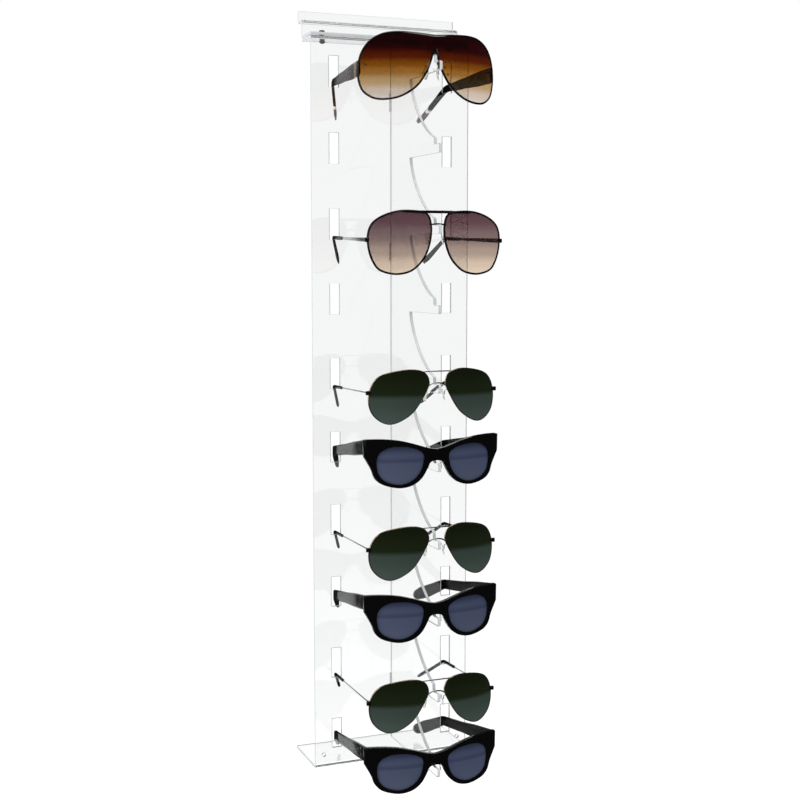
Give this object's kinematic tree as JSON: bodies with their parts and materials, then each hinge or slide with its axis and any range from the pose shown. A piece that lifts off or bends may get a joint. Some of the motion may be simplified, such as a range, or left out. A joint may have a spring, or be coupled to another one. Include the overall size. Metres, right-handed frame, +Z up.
{
  "type": "wall-mounted glasses organizer",
  "caption": "Clear folded-sheet wall rack with paired temple slots and a saw-toothed nose fin, holding sunglasses that lift off.",
  "frame": {"origin": "middle of the hook strip's flat wall face, the back of its riser", "axes": "+X to the right seen from the front, +Y towards the wall, +Z up"},
  "size_m": [0.17, 0.19, 0.774],
  "materials": {
    "acrylic": "clear polished acrylic sheet",
    "black_screw": "black oxide steel",
    "gold_wire": "polished pale gold wire",
    "silver": "polished silver wire",
    "black_metal": "gloss black enamelled metal",
    "black_plastic": "gloss black",
    "green_lens": "dark green gradient tint",
    "blue_lens": "dark blue tint",
    "smoke_lens": "mauve to peach gradient tint",
    "brown_lens": "brown gradient tint",
    "clear_pad": "clear soft plastic",
    "brown_plastic": "dark brown satin plastic"
  },
  "bodies": {
    "rack": {"back_panel": "acrylic", "nose_fin": "acrylic", "header_hook": "acrylic", "screw_l": "black_screw", "screw_r": "black_screw", "nut_l": "black_screw", "nut_r": "black_screw"},
    "pair_01": {"p01_shield_frame": "black_metal", "p01_shield_lens": "brown_lens", "p01_shield_pad_l": "clear_pad", "p01_shield_pad_r": "clear_pad"},
    "pair_01_temple_l": {"p01_shield_temple_l": "brown_plastic"},
    "pair_01_temple_r": {"p01_shield_temple_r": "brown_plastic"},
    "pair_03": {"p03_pilot_frame": "black_metal", "p03_pilot_lens_l": "smoke_lens", "p03_pilot_lens_r": "smoke_lens", "p03_pilot_pad_l": "clear_pad", "p03_pilot_pad_r": "clear_pad"},
    "pair_03_temple_l": {"p03_pilot_temple_l": "silver", "p03_pilot_tip_l": "black_plastic"},
    "pair_03_temple_r": {"p03_pilot_temple_r": "silver", "p03_pilot_tip_r": "black_plastic"},
    "pair_05": {"p05_aviator_frame": "gold_wire", "p05_aviator_lens_l": "green_lens", "p05_aviator_lens_r": "green_lens", "p05_aviator_pad_l": "clear_pad", "p05_aviator_pad_r": "clear_pad"},
    "pair_05_temple_l": {"p05_aviator_temple_l": "silver"},
    "pair_05_temple_r": {"p05_aviator_temple_r": "silver"},
    "pair_06": {"p06_acetate_frame": "black_plastic", "p06_acetate_lens_l": "blue_lens", "p06_acetate_lens_r": "blue_lens"},
    "pair_06_temple_l": {"p06_acetate_temple_l": "black_plastic"},
    "pair_06_temple_r": {"p06_acetate_temple_r": "black_plastic"},
    "pair_07": {"p07_aviator_frame": "gold_wire", "p07_aviator_lens_l": "green_lens", "p07_aviator_lens_r": "green_lens", "p07_aviator_pad_l": "clear_pad", "p07_aviator_pad_r": "clear_pad"},
    "pair_07_temple_l": {"p07_aviator_temple_l": "silver"},
    "pair_07_temple_r": {"p07_aviator_temple_r": "silver"},
    "pair_08": {"p08_acetate_frame": "black_plastic", "p08_acetate_lens_l": "blue_lens", "p08_acetate_lens_r": "blue_lens"},
    "pair_08_temple_l": {"p08_acetate_temple_l": "black_plastic"},
    "pair_08_temple_r": {"p08_acetate_temple_r": "black_plastic"},
    "pair_09": {"p09_aviator_frame": "gold_wire", "p09_aviator_lens_l": "green_lens", "p09_aviator_lens_r": "green_lens", "p09_aviator_pad_l": "clear_pad", "p09_aviator_pad_r": "clear_pad"},
    "pair_09_temple_l": {"p09_aviator_temple_l": "silver"},
    "pair_09_temple_r": {"p09_aviator_temple_r": "silver"},
    "pair_10": {"p10_acetate_frame": "black_plastic", "p10_acetate_lens_l": "blue_lens", "p10_acetate_lens_r": "blue_lens"},
    "pair_10_temple_l": {"p10_acetate_temple_l": "black_plastic"},
    "pair_10_temple_r": {"p10_acetate_temple_r": "black_plastic"}
  },
  "joints": [
    {"name": "pair_01_lift", "type": "slide", "parent": "rack", "child": "pair_01", "axis": [0, -0.739, 0.6738], "range_m": [0, 0.045]},
    {"name": "pair_01_temple_l_spread", "type": "hinge", "parent": "pair_01", "child": "pair_01_temple_l", "pos_m": [-0.0685, -0.1195, -0.0525], "axis": [0, 0, 1], "range_deg": [0, 6.1]},
    {"name": "pair_01_temple_r_spread", "type": "hinge", "parent": "pair_01", "child": "pair_01_temple_r", "pos_m": [0.0685, -0.1195, -0.0525], "axis": [0, 0, -1], "range_deg": [0, 6.1]},
    {"name": "pair_03_lift", "type": "slide", "parent": "rack", "child": "pair_03", "axis": [0, -0.6925, 0.7214], "range_m": [0, 0.034]},
    {"name": "pair_03_temple_l_spread", "type": "hinge", "parent": "pair_03", "child": "pair_03_temple_l", "pos_m": [-0.068, -0.1404, -0.211], "axis": [0, 0, 1], "range_deg": [0, 5.5]},
    {"name": "pair_03_temple_r_spread", "type": "hinge", "parent": "pair_03", "child": "pair_03_temple_r", "pos_m": [0.068, -0.1404, -0.211], "axis": [0, 0, -1], "range_deg": [0, 5.5]},
    {"name": "pair_05_lift", "type": "slide", "parent": "rack", "child": "pair_05", "axis": [0, -0.7907, 0.6122], "range_m": [0, 0.038]},
    {"name": "pair_05_temple_l_spread", "type": "hinge", "parent": "pair_05", "child": "pair_05_temple_l", "pos_m": [-0.064, -0.135, -0.354], "axis": [0, 0, 1], "range_deg": [0, 5.6]},
    {"name": "pair_05_temple_r_spread", "type": "hinge", "parent": "pair_05", "child": "pair_05_temple_r", "pos_m": [0.064, -0.135, -0.354], "axis": [0, 0, -1], "range_deg": [0, 5.6]},
    {"name": "pair_06_lift", "type": "slide", "parent": "rack", "child": "pair_06", "axis": [0, -0.8849, 0.4657], "range_m": [0, 0.042]},
    {"name": "pair_06_temple_l_spread", "type": "hinge", "parent": "pair_06", "child": "pair_06_temple_l", "pos_m": [-0.069, -0.131, -0.406], "axis": [0, 0, 1], "range_deg": [0, 6.6]},
    {"name": "pair_06_temple_r_spread", "type": "hinge", "parent": "pair_06", "child": "pair_06_temple_r", "pos_m": [0.069, -0.131, -0.406], "axis": [0, 0, -1], "range_deg": [0, 6.6]},
    {"name": "pair_07_lift", "type": "slide", "parent": "rack", "child": "pair_07", "axis": [0, -0.7907, 0.6122], "range_m": [0, 0.038]},
    {"name": "pair_07_temple_l_spread", "type": "hinge", "parent": "pair_07", "child": "pair_07_temple_l", "pos_m": [-0.064, -0.135, -0.504], "axis": [0, 0, 1], "range_deg": [0, 5.6]},
    {"name": "pair_07_temple_r_spread", "type": "hinge", "parent": "pair_07", "child": "pair_07_temple_r", "pos_m": [0.064, -0.135, -0.504], "axis": [0, 0, -1], "range_deg": [0, 5.6]},
    {"name": "pair_08_lift", "type": "slide", "parent": "rack", "child": "pair_08", "axis": [0, -0.8849, 0.4657], "range_m": [0, 0.042]},
    {"name": "pair_08_temple_l_spread", "type": "hinge", "parent": "pair_08", "child": "pair_08_temple_l", "pos_m": [-0.069, -0.131, -0.556], "axis": [0, 0, 1], "range_deg": [0, 6.6]},
    {"name": "pair_08_temple_r_spread", "type": "hinge", "parent": "pair_08", "child": "pair_08_temple_r", "pos_m": [0.069, -0.131, -0.556], "axis": [0, 0, -1], "range_deg": [0, 6.6]},
    {"name": "pair_09_lift", "type": "slide", "parent": "rack", "child": "pair_09", "axis": [0, -0.7907, 0.6122], "range_m": [0, 0.038]},
    {"name": "pair_09_temple_l_spread", "type": "hinge", "parent": "pair_09", "child": "pair_09_temple_l", "pos_m": [-0.064, -0.135, -0.654], "axis": [0, 0, 1], "range_deg": [0, 5.6]},
    {"name": "pair_09_temple_r_spread", "type": "hinge", "parent": "pair_09", "child": "pair_09_temple_r", "pos_m": [0.064, -0.135, -0.654], "axis": [0, 0, -1], "range_deg": [0, 5.6]},
    {"name": "pair_10_lift", "type": "slide", "parent": "rack", "child": "pair_10", "axis": [0, -0.8849, 0.4657], "range_m": [0, 0.042]},
    {"name": "pair_10_temple_l_spread", "type": "hinge", "parent": "pair_10", "child": "pair_10_temple_l", "pos_m": [-0.069, -0.131, -0.706], "axis": [0, 0, 1], "range_deg": [0, 6.6]},
    {"name": "pair_10_temple_r_spread", "type": "hinge", "parent": "pair_10", "child": "pair_10_temple_r", "pos_m": [0.069, -0.131, -0.706], "axis": [0, 0, -1], "range_deg": [0, 6.6]}
  ],
  "couplings": [
    {"joint": "pair_01_temple_l_spread", "follows": "pair_01_lift", "rad_per_m": 2.2495},
    {"joint": "pair_01_temple_r_spread", "follows": "pair_01_lift", "rad_per_m": 2.2495},
    {"joint": "pair_03_temple_l_spread", "follows": "pair_03_lift", "rad_per_m": 2.6693},
    {"joint": "pair_03_temple_r_spread", "follows": "pair_03_lift", "rad_per_m": 2.6693},
    {"joint": "pair_05_temple_l_spread", "follows": "pair_05_lift", "rad_per_m": 2.4343},
    {"joint": "pair_05_temple_r_spread", "follows": "pair_05_lift", "rad_per_m": 2.4343},
    {"joint": "pair_06_temple_l_spread", "follows": "pair_06_lift", "rad_per_m": 2.618},
    {"joint": "pair_06_temple_r_spread", "follows": "pair_06_lift", "rad_per_m": 2.618},
    {"joint": "pair_07_temple_l_spread", "follows": "pair_07_lift", "rad_per_m": 2.4343},
    {"joint": "pair_07_temple_r_spread", "follows": "pair_07_lift", "rad_per_m": 2.4343},
    {"joint": "pair_08_temple_l_spread", "follows": "pair_08_lift", "rad_per_m": 2.618},
    {"joint": "pair_08_temple_r_spread", "follows": "pair_08_lift", "rad_per_m": 2.618},
    {"joint": "pair_09_temple_l_spread", "follows": "pair_09_lift", "rad_per_m": 2.4343},
    {"joint": "pair_09_temple_r_spread", "follows": "pair_09_lift", "rad_per_m": 2.4343},
    {"joint": "pair_10_temple_l_spread", "follows": "pair_10_lift", "rad_per_m": 2.618},
    {"joint": "pair_10_temple_r_spread", "follows": "pair_10_lift", "rad_per_m": 2.618}
  ]
}
